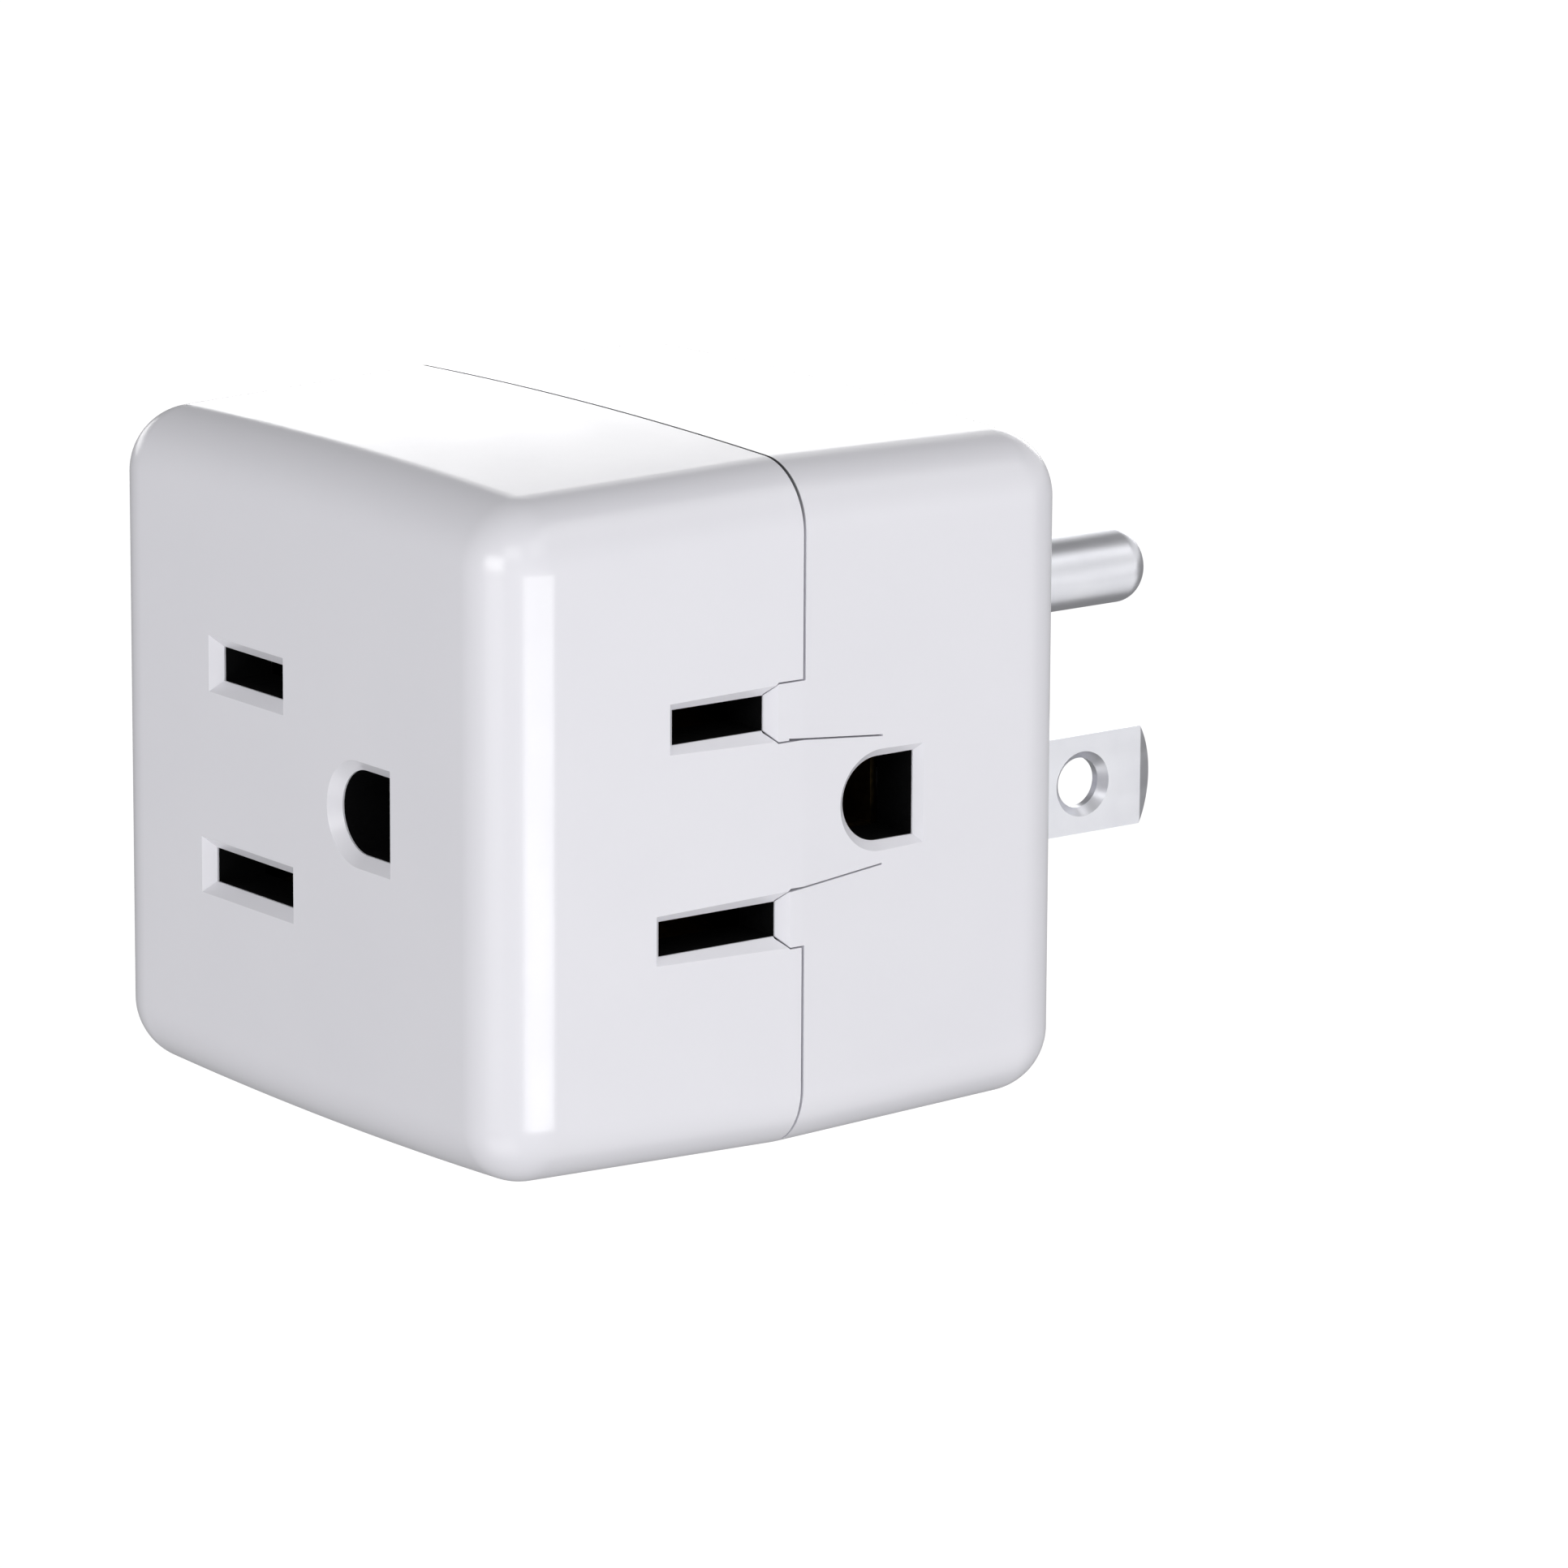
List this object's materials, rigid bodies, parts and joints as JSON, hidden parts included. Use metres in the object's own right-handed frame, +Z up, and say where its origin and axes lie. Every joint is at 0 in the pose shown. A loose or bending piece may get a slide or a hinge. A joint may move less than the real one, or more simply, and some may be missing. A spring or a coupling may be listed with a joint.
{
  "type": "grounded cube tap",
  "caption": "White cube-shaped wall tap with a grounded flat-blade plug on its back and a grounded outlet on its front and on each side.",
  "frame": {"origin": "middle of the flat rear face, which lies against the wall outlet", "axes": "+Z up towards the ground pin, +Y out of the rear face along the blades and the pin, so the front outlet faces -Y, and +X towards the right-hand outlet when the front outlet is faced"},
  "size_m": [0.043, 0.0643, 0.0428],
  "materials": {
    "white_shell": "smooth moulded white with a soft gloss",
    "black_insulator": "moulded black insulator",
    "plug_nickel": "satin nickel plate",
    "contact_brass": "stamped strip",
    "screw_steel": "zinc plate"
  },
  "bodies": {
    "root": {"front_cover": "white_shell", "rear_housing": "white_shell", "housing_screws": "screw_steel", "contact_carrier": "black_insulator", "carrier_cap": "black_insulator", "line_bus": "contact_brass", "neutral_bus": "contact_brass", "ground_bus": "contact_brass", "front_line_clip": "contact_brass", "front_neutral_clip": "contact_brass", "front_ground_clip": "contact_brass", "right_line_clip": "contact_brass", "right_neutral_clip": "contact_brass", "right_ground_clip": "contact_brass", "left_line_clip": "contact_brass", "left_neutral_clip": "contact_brass", "left_ground_clip": "contact_brass", "clip_rivets": "plug_nickel", "blade_rivets": "plug_nickel", "line_blade": "plug_nickel", "neutral_blade": "plug_nickel", "ground_pin": "plug_nickel"}
  },
  "joints": []
}
